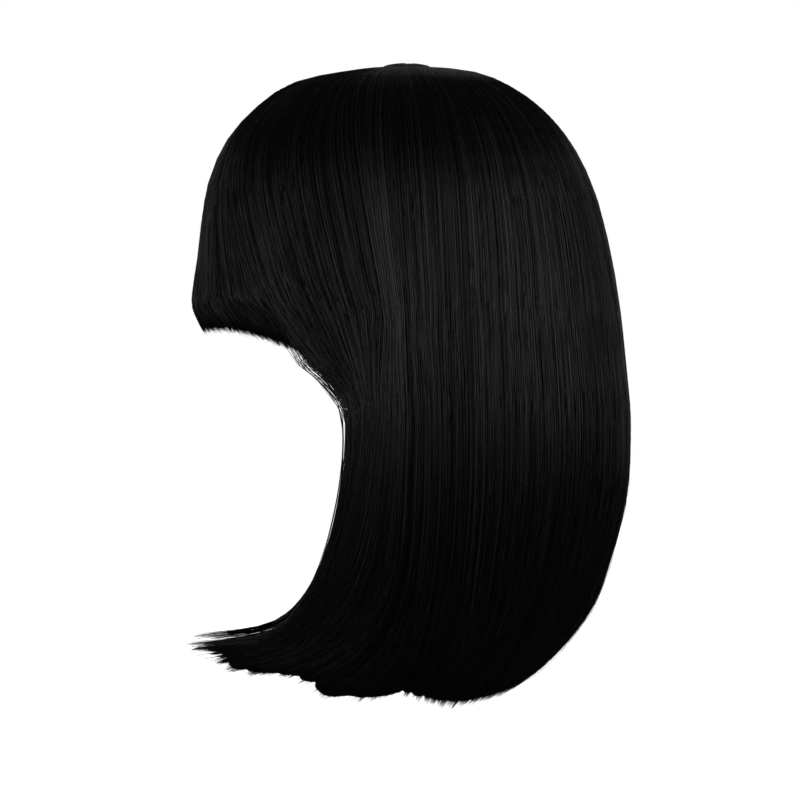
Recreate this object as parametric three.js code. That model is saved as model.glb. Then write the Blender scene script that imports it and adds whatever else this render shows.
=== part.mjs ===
// A black bob wig in millimetres, +Z up. The origin is the crown of the head that the cap sits on,
// the face looks along -Y and the wearer's left side is +X.
// All hair lies on one body of level sections. Guide strands run over that body from the crown to
// the tips, and each hair piece is a thick wall between two of the guides.
import * as THREE from "three";

// The head's hollow, and the cap round it
const HEAD_HALF_BREADTH = 75.5;
const HEAD_HALF_LENGTH = 95.5;
const HEAD_TOP_RISE = 85; // from the widest level up to the crown
const HEAD_NAPE_REACH = 150; // how far below that level the skull and nape would close
const CAP_WALL = 1.5;

// The outline of the hair
const HAIR_TOP = 10.2; // top of the hair beside the crown patch, above the head
const HAIR_HEIGHT = 377.4; // from there down to the lowest hem
const HAIR_HALF_WIDTH = 101;
const FRINGE_REACH = 124.8; // forward of the section centre
const BACK_REACH = 138;
const SECTION_CENTRE_Y = 8; // the hair's section centre, behind the crown of the head

// Walls and clearances
const CURTAIN_WALL = 14;
const FRINGE_WALL = 10;
const TIP_WALL = 3;
const FACE_EDGE_WALL = 5;
const FACE_EDGE_SPREAD = 0.35; // guides over which the face edge thickens to the full wall
const TAPER_STATIONS = 2; // stations over which the wall thins to the tips
const SEAT_CLEARANCE = 1.4; // hair or patch to cap
const SEAM_CLEARANCE = 1; // one hair piece to the next
const CAP_FOLLOW = 14; // hair keeps to the cap's surface this far below its rim
const CAP_RELEASE = 45; // and hangs free this much lower

// Locks
const LOCK_DEPTH = 1.8;
const COLUMNS_PER_LOCK = 3;

// The crown patch
const PATCH_RISE = 2; // its top above the hair round it
const PATCH_EDGE_FALL = 0.9;

// Level sections of the hair body from the crown to the hem.
// drop is a share of HAIR_HEIGHT, side of HAIR_HALF_WIDTH, front of FRINGE_REACH, back of BACK_REACH.
const LEVELS = [
  { drop: 0.0, side: 0.11, front: 0.08, back: 0.13 },
  { drop: 0.006, side: 0.28, front: 0.245, back: 0.304 },
  { drop: 0.025, side: 0.48, front: 0.51, back: 0.452 },
  { drop: 0.064, side: 0.65, front: 0.688, back: 0.609 },
  { drop: 0.121, side: 0.78, front: 0.837, back: 0.743 },
  { drop: 0.197, side: 0.873, front: 0.928, back: 0.844 },
  { drop: 0.293, side: 0.936, front: 0.965, back: 0.913 },
  { drop: 0.369, side: 0.966, front: 0.998, back: 0.948 },
  { drop: 0.405, side: 0.9755, front: 0.967, back: 0.9615 },
  { drop: 0.45, side: 0.985, front: 0.9, back: 0.9745 },
  { drop: 0.5, side: 0.9935, front: 0.945, back: 0.988 },
  { drop: 0.56, side: 1.0, front: 0.975, back: 1.0 },
  { drop: 0.674, side: 0.994, front: 1.01, back: 0.987 },
  { drop: 0.788, side: 0.957, front: 1.1, back: 0.909 },
  { drop: 0.865, side: 0.903, front: 1.17, back: 0.822 },
  { drop: 0.941, side: 0.82, front: 1.22, back: 0.648 },
  { drop: 1.0, side: 0.72, front: 1.235, back: 0.44 },
];

// Where the guide strands are fixed. The columns of GUIDES hold the bearing at these stations in
// degrees from the front. steps is the number of mesh rows down to the next station.
const STATIONS = [
  { name: "crown", drop: 0.0, steps: 6 },
  { name: "shoulder", drop: 0.121, steps: 4 },
  { name: "brow", drop: 0.369, steps: 1 },
  { name: "lash", steps: 2 },
  { name: "cheek", drop: 0.5, steps: 1 },
  { name: "jaw", drop: 0.579, steps: 3 },
  { name: "collar", drop: 0.788, steps: 3 },
  { name: "sweep", steps: 3 },
  { name: "tip", steps: 0 },
];
const LASH = STATIONS.findIndex((station) => station.name === "lash");
const TIP = STATIONS.length - 1;

// Guide strands from the front centre to the back centre. The columns ending in Drop hold the
// drops of the stations where each guide has its own.
const GUIDES = [
  { name: "front_centre", crown: 0, shoulder: 0, brow: 0, lash: 0, lashDrop: 0.418 },
  { name: "fringe_middle", crown: 13, shoulder: 14, brow: 28, lash: 33.6, lashDrop: 0.4185 },
  {
    name: "face_edge", crown: 26, shoulder: 28, brow: 50, lash: 58.5, lashDrop: 0.4516,
    cheek: 70, jaw: 75.3, collar: 70.3, sweep: 59.5, sweepDrop: 0.887, tip: 32, tipDrop: 0.909,
  },
  {
    name: "front_seam", crown: 58, shoulder: 71, brow: 82, lash: 82.5, lashDrop: 0.436,
    cheek: 82.8, jaw: 83, collar: 77, sweep: 66, sweepDrop: 0.902, tip: 46, tipDrop: 0.941,
  },
  {
    name: "side_front", crown: 76, shoulder: 82, brow: 88, lash: 88.5, lashDrop: 0.43,
    cheek: 88.8, jaw: 89, collar: 86, sweep: 77, sweepDrop: 0.905, tip: 62, tipDrop: 0.957,
  },
  {
    name: "side_middle", crown: 92, shoulder: 94, brow: 96, lash: 96, lashDrop: 0.424,
    cheek: 96.6, jaw: 97, collar: 96, sweep: 91, sweepDrop: 0.918, tip: 80, tipDrop: 0.995,
  },
  {
    name: "side_seam", crown: 110, shoulder: 108, brow: 107, lash: 107, lashDrop: 0.424,
    cheek: 107, jaw: 107, collar: 107, sweep: 106, sweepDrop: 0.918, tip: 102, tipDrop: 0.99,
  },
  {
    name: "back_corner", crown: 140, shoulder: 136, brow: 134, lash: 134, lashDrop: 0.424,
    cheek: 134, jaw: 134, collar: 134, sweep: 134, sweepDrop: 0.925, tip: 132, tipDrop: 1.0,
  },
  {
    name: "back_centre", crown: 180, shoulder: 180, brow: 180, lash: 180, lashDrop: 0.424,
    cheek: 180, jaw: 180, collar: 180, sweep: 180, sweepDrop: 0.905, tip: 180, tipDrop: 0.975,
  },
];
const guideNamed = (name) => GUIDES.findIndex((guide) => guide.name === name);
const FACE_EDGE = guideNamed("face_edge");
const BACK_CENTRE = guideNamed("back_centre");

// The cap's rim: how far below the crown of the head it lies at each bearing, as a share of the
// head's rise. It is high at the brow, low in front of and behind the ear, and lowest at the nape.
const CAP_RIM = [
  { bearing: 0, drop: 0.7 },
  { bearing: 38, drop: 0.76 },
  { bearing: 74, drop: 1.4 },
  { bearing: 108, drop: 1.3 },
  { bearing: 140, drop: 1.62 },
  { bearing: 180, drop: 1.76 },
];
const CAP_COLUMNS = 28;
const CAP_ROWS = 8;
const PATCH_COLUMNS = 16;
const PATCH_RINGS = [0.55, 1]; // shares of the patch's radius

// Cubic through four neighbouring values, at share f between the middle two
function cubic(before, from, to, after, f) {
  const leaving = (to - before) / 2;
  const arriving = (after - from) / 2;
  return (
    (2 * f ** 3 - 3 * f ** 2 + 1) * from +
    (f ** 3 - 2 * f ** 2 + f) * leaving +
    (3 * f ** 2 - 2 * f ** 3) * to +
    (f ** 3 - f ** 2) * arriving
  );
}

// Smooth value of a list at a fractional place. It runs straight on past both ends.
function along(values, place) {
  const last = values.length - 1;
  const i = Math.min(Math.max(Math.floor(place), 0), last - 1);
  const before = i > 0 ? values[i - 1] : 2 * values[0] - values[1];
  const after = i + 2 <= last ? values[i + 2] : 2 * values[last] - values[last - 1];
  return cubic(before, values[i], values[i + 1], after, place - i);
}

const smooth = (x) => {
  const f = Math.min(Math.max(x, 0), 1);
  return f * f * (3 - 2 * f);
};
const mix = (from, to, share) => from + (to - from) * share;

const column = (name) => LEVELS.map((level) => level[name]);
const LEVEL = { drop: column("drop"), side: column("side"), front: column("front"), back: column("back") };

// The fractional level at a drop, found by halving
function levelAt(drop) {
  let low = 0;
  let high = LEVELS.length - 1;
  for (let i = 0; i < 40; i += 1) {
    const middle = (low + high) / 2;
    if (along(LEVEL.drop, middle) < drop) low = middle;
    else high = middle;
  }
  return (low + high) / 2;
}

// Point of the hair's outer body at a bearing in degrees and a fractional level
function bodyPoint(bearing, level) {
  const angle = THREE.MathUtils.degToRad(bearing);
  const forward = Math.cos(angle);
  const reach =
    forward > 0 ? FRINGE_REACH * along(LEVEL.front, level) : BACK_REACH * along(LEVEL.back, level);
  return new THREE.Vector3(
    HAIR_HALF_WIDTH * along(LEVEL.side, level) * Math.sin(angle),
    SECTION_CENTRE_Y - reach * forward,
    HAIR_TOP - HAIR_HEIGHT * along(LEVEL.drop, level),
  );
}

// Outward normal of that body
function bodyNormal(bearing, level) {
  const turn = bodyPoint(bearing + 0.5, level).sub(bodyPoint(bearing - 0.5, level));
  const fall = bodyPoint(bearing, level + 0.02).sub(bodyPoint(bearing, level - 0.02));
  return fall.cross(turn).normalize();
}

// The head's centre, and the surface of the cap seen from it, grown by a distance
const HEAD_CENTRE = new THREE.Vector3(0, 0, -HEAD_TOP_RISE);
function capSurface(towards, grown) {
  const direction = towards.clone().sub(HEAD_CENTRE).normalize();
  const rise = direction.z > 0 ? HEAD_TOP_RISE : HEAD_NAPE_REACH;
  const reach = Math.hypot(
    direction.x / (HEAD_HALF_BREADTH + grown),
    direction.y / (HEAD_HALF_LENGTH + grown),
    direction.z / (rise + grown),
  );
  return direction.divideScalar(reach).add(HEAD_CENTRE);
}

// Height of the cap's rim at a bearing
function rimHeight(bearing) {
  const at = bearing > 180 ? 360 - bearing : bearing;
  const i = Math.min(
    CAP_RIM.findLastIndex((row) => row.bearing <= at),
    CAP_RIM.length - 2,
  );
  const place = i + (at - CAP_RIM[i].bearing) / (CAP_RIM[i + 1].bearing - CAP_RIM[i].bearing);
  return -HEAD_TOP_RISE * along(CAP_RIM.map((row) => row.drop), place);
}

// Bearing and level of each guide at each station
const STRANDS = GUIDES.map((guide) => {
  const stations = STATIONS.filter((station) => station.name in guide);
  return {
    bearing: stations.map((station) => guide[station.name]),
    level: stations.map((station) => levelAt(station.drop ?? guide[station.name + "Drop"])),
  };
});

// Bearing and level on the strand at a fractional guide, at a fractional station
function onStrand(guide, station) {
  const isFringe = guide < FACE_EDGE;
  const first = isFringe ? 0 : FACE_EDGE;
  const used = STRANDS.slice(first, isFringe ? FACE_EDGE + 1 : undefined);
  return {
    bearing: along(used.map((strand) => along(strand.bearing, station)), guide - first),
    level: along(used.map((strand) => along(strand.level, station)), guide - first),
  };
}

// Fixed uneven values from -1 to 1, one for each lock
const uneven = (lock) => {
  const value = Math.sin((lock + 1) * 12.9898) * 43758.5453;
  return 2 * (value - Math.floor(value)) - 1;
};

// Groove between locks: 1 on the line between two locks, 0 over the middle of each
const groove = (share) => 1 - Math.abs(Math.sin(Math.PI * share)) ** 0.7;

// Rows of a hair piece as fractional stations, down to a last station
function rowsTo(lastStation) {
  const rows = [];
  for (let station = 0; station < lastStation; station += 1)
    for (let step = 0; step < STATIONS[station].steps; step += 1)
      rows.push(station + step / STATIONS[station].steps);
  return [...rows, lastStation];
}

// Thickness of the hair that hangs free. The edge that frames the face is thin on both sides of it.
function wallAt(guide, station) {
  const pastBrow = smooth(station - (LASH - 1));
  const faceEdge = mix(FRINGE_WALL, FACE_EDGE_WALL, pastBrow);
  const fromEdge = smooth(Math.abs(guide - FACE_EDGE) / FACE_EDGE_SPREAD);
  if (guide < FACE_EDGE) return mix(faceEdge, mix(FRINGE_WALL, TIP_WALL, pastBrow), fromEdge);
  const tapered = smooth((station - (TIP - TAPER_STATIONS)) / TAPER_STATIONS);
  return mix(mix(faceEdge, CURTAIN_WALL, fromEdge), TIP_WALL, tapered);
}

// Outer and inner point of a hair piece. lock counts locks across it.
function hairPair(piece, guide, lock, station) {
  const side = guide < 0 ? -1 : 1;
  const folded = Math.abs(guide);
  const { end } = piece;
  const cut = groove(lock);
  const { bearing, level } = onStrand(folded, station);
  const next = onStrand(folded, station + 0.05);
  const here = bodyPoint(bearing, level);
  const down = bodyPoint(next.bearing, next.level).sub(here).normalize();
  const normal = bodyNormal(bearing, level);

  // The tips stand apart only over the last stretch
  const loose = smooth((station - (end - 1.6)) / 1.6);
  const atCrown = smooth(station / 1.2);
  const outer = here.clone().addScaledVector(normal, -LOCK_DEPTH * cut * mix(0.35, 1, loose) * atCrown);
  const fromSeam = Math.min(lock, piece.locks - lock);
  const lockNumber = Math.floor(piece.crossesMiddle ? fromSeam : lock);
  const spread = mix(piece.spread * uneven(lockNumber + piece.seed), -piece.notch, cut);
  const shift = end === LASH ? spread * smooth(2 * fromSeam) : spread;
  const tipShift = shift * smooth((station - (end - 0.8)) / 0.8);
  outer.addScaledVector(down, tipShift);

  const free = here.clone().addScaledVector(normal, -wallAt(folded, station));
  free.addScaledVector(down, tipShift);
  const seated = capSurface(here, CAP_WALL + SEAT_CLEARANCE);
  const headBearing = THREE.MathUtils.radToDeg(Math.atan2(Math.abs(here.x), -here.y));
  const release = smooth((rimHeight(headBearing) - CAP_FOLLOW - here.z) / CAP_RELEASE);
  const inner = seated.lerp(free, release);
  outer.x *= side;
  inner.x *= side;
  return { outer, inner };
}

// How far a seam's clearance moves a guide, at a station
function seamShift(guide, station) {
  const folded = Math.abs(guide);
  const step = 0.02;
  const inward = folded < BACK_CENTRE ? step : -step;
  const a = onStrand(folded, station);
  const b = onStrand(folded + inward, station);
  const span = bodyPoint(a.bearing, a.level).distanceTo(bodyPoint(b.bearing, b.level));
  return ((SEAM_CLEARANCE / 2) * step) / span;
}

// Closed geometry from rings of points, each ring going round the solid, with the faces between
// rings and the faces over both ends given by index
function geometryOf(rings, ends) {
  const count = rings[0].length;
  const index = [];
  for (let ring = 0; ring + 1 < rings.length; ring += 1)
    for (let i = 0; i < count; i += 1) {
      const a = ring * count + i;
      const b = ring * count + ((i + 1) % count);
      // The two edges of a wall are split the same way, so that neighbours' edges run side by side
      if (i + 1 < count) index.push(a, a + count, b + count, a, b + count, b);
      else index.push(a, a + count, b, b, a + count, b + count);
    }
  const positions = rings.flat().concat(ends.poles ?? []);
  index.push(...ends.faces);
  const geometry = new THREE.BufferGeometry();
  geometry.setAttribute(
    "position",
    new THREE.Float32BufferAttribute(positions.flatMap((point) => point.toArray()), 3),
  );
  geometry.setIndex(index);
  geometry.computeVertexNormals();
  return geometry;
}

// A solid of rings that closes in a point at both ends
function poledGeometry(rings, firstPole, lastPole) {
  const count = rings[0].length;
  const poleAt = rings.length * count;
  const lastRing = poleAt - count;
  const faces = [];
  for (let i = 0; i < count; i += 1) {
    const next = (i + 1) % count;
    faces.push(poleAt, i, next, poleAt + 1, lastRing + next, lastRing + i);
  }
  return geometryOf(rings, { poles: [firstPole, lastPole], faces });
}

// A hair piece: a wall from one guide to another, with its locks
function hairGeometry(piece) {
  const columns = piece.locks * COLUMNS_PER_LOCK;
  const mirrored = piece.mirrored ? -1 : 1;
  const rings = rowsTo(piece.end).map((station) => {
    const from = piece.from + seamShift(piece.from, station);
    const to = piece.to - seamShift(piece.to, station);
    const pairs = Array.from({ length: columns + 1 }, (_, i) =>
      hairPair(piece, mix(from, to, i / columns), (i / columns) * piece.locks, station),
    );
    const ring = [...pairs.map((pair) => pair.outer), ...pairs.map((pair) => pair.inner).reverse()];
    ring.forEach((point) => (point.x *= mirrored));
    return ring;
  });
  const count = rings[0].length;
  const lastRing = (rings.length - 1) * count;
  const faces = [];
  for (let i = 0; i < columns; i += 1) {
    const inner = count - 1 - i;
    faces.push(i, i + 1, inner, i + 1, inner - 1, inner);
    faces.push(lastRing + i, lastRing + inner, lastRing + i + 1);
    faces.push(lastRing + i + 1, lastRing + inner, lastRing + inner - 1);
  }
  const geometry = geometryOf(rings, { faces });
  if (piece.mirrored) geometry.setIndex([...geometry.index.array].reverse());
  geometry.computeVertexNormals();
  return geometry;
}

// Bearing of a column that goes all the way round
const roundBearing = (i, columns) => (360 * i) / columns;

// A point of the cap at a bearing, a share of the way from its top to its rim
function capPoint(bearing, share, grown) {
  const angle = THREE.MathUtils.degToRad(bearing);
  const rim = rimHeight(bearing) - HEAD_CENTRE.z;
  const reach = (rim > 0 ? HEAD_TOP_RISE : HEAD_NAPE_REACH) + grown;
  const tilt = mix(Math.PI / 2, Math.asin(rim / reach), share);
  return new THREE.Vector3(
    (HEAD_HALF_BREADTH + grown) * Math.cos(tilt) * Math.sin(angle),
    -(HEAD_HALF_LENGTH + grown) * Math.cos(tilt) * Math.cos(angle),
    ((tilt > 0 ? HEAD_TOP_RISE : HEAD_NAPE_REACH) + grown) * Math.sin(tilt),
  ).add(HEAD_CENTRE);
}

// The cap: a thin dome, open below its rim
function capGeometry() {
  const ringAt = (share, grown) =>
    Array.from({ length: CAP_COLUMNS }, (_, i) => capPoint(roundBearing(i, CAP_COLUMNS), share, grown));
  const shares = Array.from({ length: CAP_ROWS }, (_, row) => (row + 1) / CAP_ROWS);
  const rings = [
    ...shares.map((share) => ringAt(share, CAP_WALL)),
    ...shares.map((share) => ringAt(share, 0)).reverse(),
  ];
  const top = capSurface(new THREE.Vector3(0, 0, 1), CAP_WALL);
  const inside = capSurface(new THREE.Vector3(0, 0, 1), 0);
  return poledGeometry(rings, top, inside);
}

// The crown patch: a low oval dome that fills the opening at the crown, down to the cap
function patchGeometry() {
  const centre = bodyPoint(0, 0).lerp(bodyPoint(180, 0), 0.5);
  const ringAt = (share, seated) =>
    Array.from({ length: PATCH_COLUMNS }, (_, i) => {
      const edge = bodyPoint(roundBearing(i, PATCH_COLUMNS), 0);
      const reach = edge.distanceTo(centre) - SEAM_CLEARANCE;
      const point = centre.clone().lerp(edge, (share * reach) / edge.distanceTo(centre));
      point.z += PATCH_RISE * Math.sqrt(1 - PATCH_EDGE_FALL * share ** 2);
      return seated ? capSurface(point, CAP_WALL + SEAT_CLEARANCE) : point;
    });
  const rings = [
    ...PATCH_RINGS.map((share) => ringAt(share, false)),
    ...PATCH_RINGS.map((share) => ringAt(share, true)).reverse(),
  ];
  const top = centre.clone();
  top.z += PATCH_RISE;
  return poledGeometry(rings, top, capSurface(top, CAP_WALL + SEAT_CLEARANCE));
}

// Finishes
const hairFinish = new THREE.MeshStandardMaterial({ color: 0x141312, roughness: 0.42, metalness: 0 });
const patchFinish = new THREE.MeshStandardMaterial({ color: 0x2b2927, roughness: 0.7, metalness: 0 });
const netFinish = new THREE.MeshStandardMaterial({ color: 0x1a1918, roughness: 0.9, metalness: 0 });

const FRONT_SEAM = guideNamed("front_seam");
const SIDE_SEAM = guideNamed("side_seam");
// notch is how far a lock's tip stands below the groove beside it, and spread how far the tips of
// neighbouring locks differ. The fringe crosses the middle and is the same on both sides of it.
const HAIR_PIECES = [
  {
    name: "fringe", from: -FACE_EDGE, to: FACE_EDGE, crossesMiddle: true,
    locks: 9, end: LASH, notch: 3, spread: 1.5, seed: 3,
  },
  ...["left", "right"].flatMap((side) => [
    {
      name: `face_lock_${side}`, mirrored: side === "right", from: FACE_EDGE, to: FRONT_SEAM,
      locks: 4, end: TIP, notch: 9, spread: 5, seed: 11,
    },
    {
      name: `side_curtain_${side}`, mirrored: side === "right", from: FRONT_SEAM, to: SIDE_SEAM,
      locks: 4, end: TIP, notch: 6, spread: 5, seed: 23,
    },
    {
      name: `back_curtain_${side}`, mirrored: side === "right", from: SIDE_SEAM, to: BACK_CENTRE,
      locks: 7, end: TIP, notch: 4, spread: 3, seed: 37,
    },
  ]),
];

function meshNamed(name, geometry, material) {
  const mesh = new THREE.Mesh(geometry, material);
  mesh.name = name;
  return mesh;
}

const wig = new THREE.Group();
wig.add(meshNamed("wig_cap", capGeometry(), netFinish));
wig.add(meshNamed("crown_patch", patchGeometry(), patchFinish));
for (const piece of HAIR_PIECES) wig.add(meshNamed(piece.name, hairGeometry(piece), hairFinish));

export default wig;
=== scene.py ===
"""A straight black bob wig with a full fringe, dressed in strands for the studio.

All hair lies on one body of level sections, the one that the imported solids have. Guide strands run
over that body from the crown to the tips. Each hair section is a thick mass between two guides,
with layers of single strands laid over it and under it.
"""

import logging
import math
from collections.abc import Iterator
from contextlib import contextmanager
from dataclasses import dataclass, field, replace
from enum import Enum, IntEnum
from functools import cached_property

import bpy
import numpy as np
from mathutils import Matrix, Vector

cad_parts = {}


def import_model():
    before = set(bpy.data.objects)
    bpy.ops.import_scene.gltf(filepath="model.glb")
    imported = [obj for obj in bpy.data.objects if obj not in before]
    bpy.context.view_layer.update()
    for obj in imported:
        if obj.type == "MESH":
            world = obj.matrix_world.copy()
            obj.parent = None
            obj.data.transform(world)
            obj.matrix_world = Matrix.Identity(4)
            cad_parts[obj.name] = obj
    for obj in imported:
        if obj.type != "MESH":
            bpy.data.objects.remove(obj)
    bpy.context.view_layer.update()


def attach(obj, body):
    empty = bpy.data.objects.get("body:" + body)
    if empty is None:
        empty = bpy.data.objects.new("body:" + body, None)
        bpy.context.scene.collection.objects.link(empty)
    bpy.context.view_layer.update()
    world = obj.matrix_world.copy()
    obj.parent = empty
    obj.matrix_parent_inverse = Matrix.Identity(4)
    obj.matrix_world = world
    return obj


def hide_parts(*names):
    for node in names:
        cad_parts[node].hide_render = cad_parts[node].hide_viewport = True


logging.basicConfig(level=logging.INFO, format="%(message)s")
LOG = logging.getLogger("wig")
MM = 0.001
Array = np.ndarray
Triple = tuple[float, float, float]
Pair = tuple[float, float]
# Neighbouring values that one piece of a smooth curve is worked out from
NEIGHBOURS = 4


class Station(IntEnum):
    """Places down a strand, in order from the crown to the tip."""

    CROWN = 0
    SHOULDER = 1
    BROW = 2
    LASH = 3
    CHEEK = 4
    JAW = 5
    COLLAR = 6
    SWEEP = 7
    TIP = 8


class Side(Enum):
    """The wearer's side that a section is on."""

    LEFT = 1
    MIDDLE = 0
    RIGHT = -1


def smooth(value: Array, start: Array = 0.0, run: float = 1.0) -> Array:
    """Ease from 0 to 1 with flat ends, from a start over a run."""
    held = np.clip((value - start) / run, 0.0, 1.0)
    return held * held * (3.0 - 2.0 * held)


def mix(start: Array, end: Array, share: Array) -> Array:
    """Blend linearly from start to end."""
    return start + (end - start) * share


def unit(vectors: Array) -> Array:
    """Scale each row to length one."""
    return vectors / np.maximum(np.linalg.norm(vectors, axis=-1, keepdims=True), 1e-12)


def cubic_weights(share: Array) -> list[Array]:
    """Weights of four neighbouring values for a smooth curve between the middle two.

    Args:
        share: How far along, from the second value to the third.

    Returns:
        The four weights in order.
    """
    square, cube = share**2, share**3
    leaving = cube - 2.0 * square + share
    arriving = cube - square
    rising = 3.0 * square - 2.0 * cube
    return [-leaving / 2.0, 1.0 - rising - arriving / 2.0, rising + leaving / 2.0, arriving / 2.0]


def run_on(values: Array) -> Array:
    """Add one value or row before and one after, each straight on from its end."""
    return np.concatenate([[2 * values[0] - values[1]], values, [2 * values[-1] - values[-2]]])


def along(values: Array, place: Array) -> Array:
    """Smooth value of a list at fractional places.

    Args:
        values: The list's values.
        place: Fractional positions in the list.

    Returns:
        The values there.
    """
    padded = run_on(np.asarray(values, float))
    first = np.clip(np.floor(place).astype(int), 0, len(values) - 2)
    weights = cubic_weights(place - first)
    return sum(weight * padded[first + step] for step, weight in enumerate(weights))


@dataclass(frozen=True)
class HeadForm:
    """The head's hollow: two half ellipsoids that meet at the widest level."""

    half_breadth: float = 75.5 * MM
    half_length: float = 95.5 * MM
    top_rise: float = 85.0 * MM
    nape_reach: float = 150.0 * MM
    # Bearings, and the rim's drop under the top there in shares of the top's rise
    rim: tuple[Pair, ...] = (
        (0.0, 0.7), (38.0, 0.76), (74.0, 1.4), (108.0, 1.3), (140.0, 1.62), (180.0, 1.76),
    )

    @property
    def centre(self) -> Array:
        """Middle of the head at its widest level."""
        return np.array([0.0, 0.0, -self.top_rise])

    def surface(self, towards: Array, grown: float) -> Array:
        """Points of the head's surface under other points.

        Args:
            towards: Points that the surface is looked up under.
            grown: How far outside the head the surface lies.

        Returns:
            One surface point for each.
        """
        rays = unit(towards - self.centre)
        rise = np.where(rays[..., 2] > 0, self.top_rise, self.nape_reach) + grown
        reach = np.sqrt(
            (rays[..., 0] / (self.half_breadth + grown)) ** 2
            + (rays[..., 1] / (self.half_length + grown)) ** 2
            + (rays[..., 2] / rise) ** 2
        )
        return rays / reach[..., None] + self.centre

    def rim_height(self, bearing: Array) -> Array:
        """Height of the cap's rim, which is 0 at the top of the head.

        Args:
            bearing: Degrees from the front.

        Returns:
            Heights in metres, below 0.
        """
        bearings, drops = np.array(self.rim).T
        turned = np.clip(np.where(bearing > 180, 360 - bearing, bearing), 0, 180)
        first = np.clip(np.searchsorted(bearings, turned, side="right") - 1, 0, len(bearings) - 2)
        place = first + (turned - bearings[first]) / (bearings[first + 1] - bearings[first])
        return -self.top_rise * along(drops, place)


@dataclass(frozen=True)
class HairBody:
    """The outer body that all hair lies on, and the guide strands over it."""

    top: float = 10.2 * MM
    height: float = 377.4 * MM
    half_width: float = 101.0 * MM
    fringe_reach: float = 124.8 * MM
    back_reach: float = 138.0 * MM
    centre_y: float = 8.0 * MM
    level_samples: int = 2000
    # Shares of the height, half width, fringe reach and back reach at each level
    levels: tuple[tuple[float, float, float, float], ...] = (
        (0.0, 0.11, 0.08, 0.13),
        (0.006, 0.28, 0.245, 0.304),
        (0.025, 0.48, 0.51, 0.452),
        (0.064, 0.65, 0.688, 0.609),
        (0.121, 0.78, 0.837, 0.743),
        (0.197, 0.873, 0.928, 0.844),
        (0.293, 0.936, 0.965, 0.913),
        (0.369, 0.966, 0.998, 0.948),
        (0.405, 0.9755, 0.967, 0.9615),
        (0.45, 0.985, 0.9, 0.9745),
        (0.5, 0.9935, 0.945, 0.988),
        (0.56, 1.0, 0.975, 1.0),
        (0.674, 0.994, 1.01, 0.987),
        (0.788, 0.957, 1.1, 0.909),
        (0.865, 0.903, 1.17, 0.822),
        (0.941, 0.82, 1.22, 0.648),
        (1.0, 0.72, 1.235, 0.44),
    )
    # Drop of each station down a strand, with the drops of lash, sweep and tip given by guide
    drops: tuple[float, ...] = (0.0, 0.121, 0.369, 0.0, 0.5, 0.579, 0.788, 0.0, 0.0)
    # Bearing at each station, then the guide's own drops of lash, sweep and tip
    fringe_guides: tuple[tuple[float, ...], ...] = (
        (0, 0, 0, 0, 0.418),
        (13, 14, 28, 33.6, 0.4185),
    )
    guides: tuple[tuple[float, ...], ...] = (
        (26, 28, 50, 58.5, 70, 75.3, 70.3, 59.5, 32, 0.4516, 0.887, 0.909),
        (58, 71, 82, 82.5, 82.8, 83, 77, 66, 46, 0.436, 0.902, 0.941),
        (76, 82, 88, 88.5, 88.8, 89, 86, 77, 62, 0.43, 0.905, 0.957),
        (92, 94, 96, 96, 96.6, 97, 96, 91, 80, 0.424, 0.918, 0.995),
        (110, 108, 107, 107, 107, 107, 107, 106, 102, 0.424, 0.918, 0.99),
        (140, 136, 134, 134, 134, 134, 134, 134, 132, 0.424, 0.925, 1.0),
        (180, 180, 180, 180, 180, 180, 180, 180, 180, 0.424, 0.905, 0.975),
    )

    @property
    def first_guide(self) -> int:
        """Number of the guide along the edge that frames the face."""
        return len(self.fringe_guides)

    def level_at(self, drop: Array) -> Array:
        """Fractional level at drops given as shares of the height."""
        places = np.linspace(0, len(self.levels) - 1, self.level_samples)
        return np.interp(drop, self.column(0, places), places)

    def column(self, number: int, level: Array) -> Array:
        """One column of the level table at fractional levels."""
        return along(np.array([row[number] for row in self.levels]), level)

    def point(self, bearing: Array, level: Array) -> Array:
        """Points of the outer body.

        Args:
            bearing: Degrees from the front, towards the wearer's left.
            level: Fractional levels.

        Returns:
            Points in metres.
        """
        angle = np.radians(bearing)
        forward = np.cos(angle)
        ahead = self.fringe_reach * self.column(2, level)
        behind = self.back_reach * self.column(3, level)
        reach = np.where(forward > 0, ahead, behind)
        return np.stack(
            [
                self.half_width * self.column(1, level) * np.sin(angle),
                self.centre_y - reach * forward,
                self.top - self.height * self.column(0, level),
            ],
            axis=-1,
        )

    def normal(self, bearing: Array, level: Array) -> Array:
        """Outward directions of the outer body.

        Args:
            bearing: Degrees from the front.
            level: Fractional levels.

        Returns:
            Directions of length one.
        """
        aside, below = 0.5, 0.02
        turn = self.point(bearing + aside, level) - self.point(bearing - aside, level)
        fall = self.point(bearing, level + below) - self.point(bearing, level - below)
        return unit(np.cross(fall, turn))

    @cached_property
    def tables(self) -> dict[str, Array]:
        """Bearings and levels of the guides at each station, run on by one row and column.

        Returns:
            The tables of the fringe and of the rest, by name.
        """
        count = len(Station)
        lash = Station.LASH
        bearings, levels = [], []
        for row in self.guides:
            drops = list(self.drops)
            drops[lash], drops[Station.SWEEP], drops[Station.TIP] = row[count:]
            bearings.append(run_on(np.array(row[:count], float)))
            levels.append(run_on(self.level_at(np.array(drops))))
        rest = (np.array(bearings), np.array(levels))
        fringe = []
        for number, full in enumerate(rest):
            rows = []
            for row in self.fringe_guides:
                drops = np.array([*self.drops[:lash], row[-1]])
                used = np.array(row[: lash + 1], float) if number == 0 else self.level_at(drops)
                rows.append(run_on(used))
            rows.append(full[0][: lash + 3])
            fringe.append(np.array(rows))
        names = ("fringe_bearing", "fringe_level", "bearing", "level")
        return {name: run_on(table) for name, table in zip(names, (*fringe, *rest))}

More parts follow.
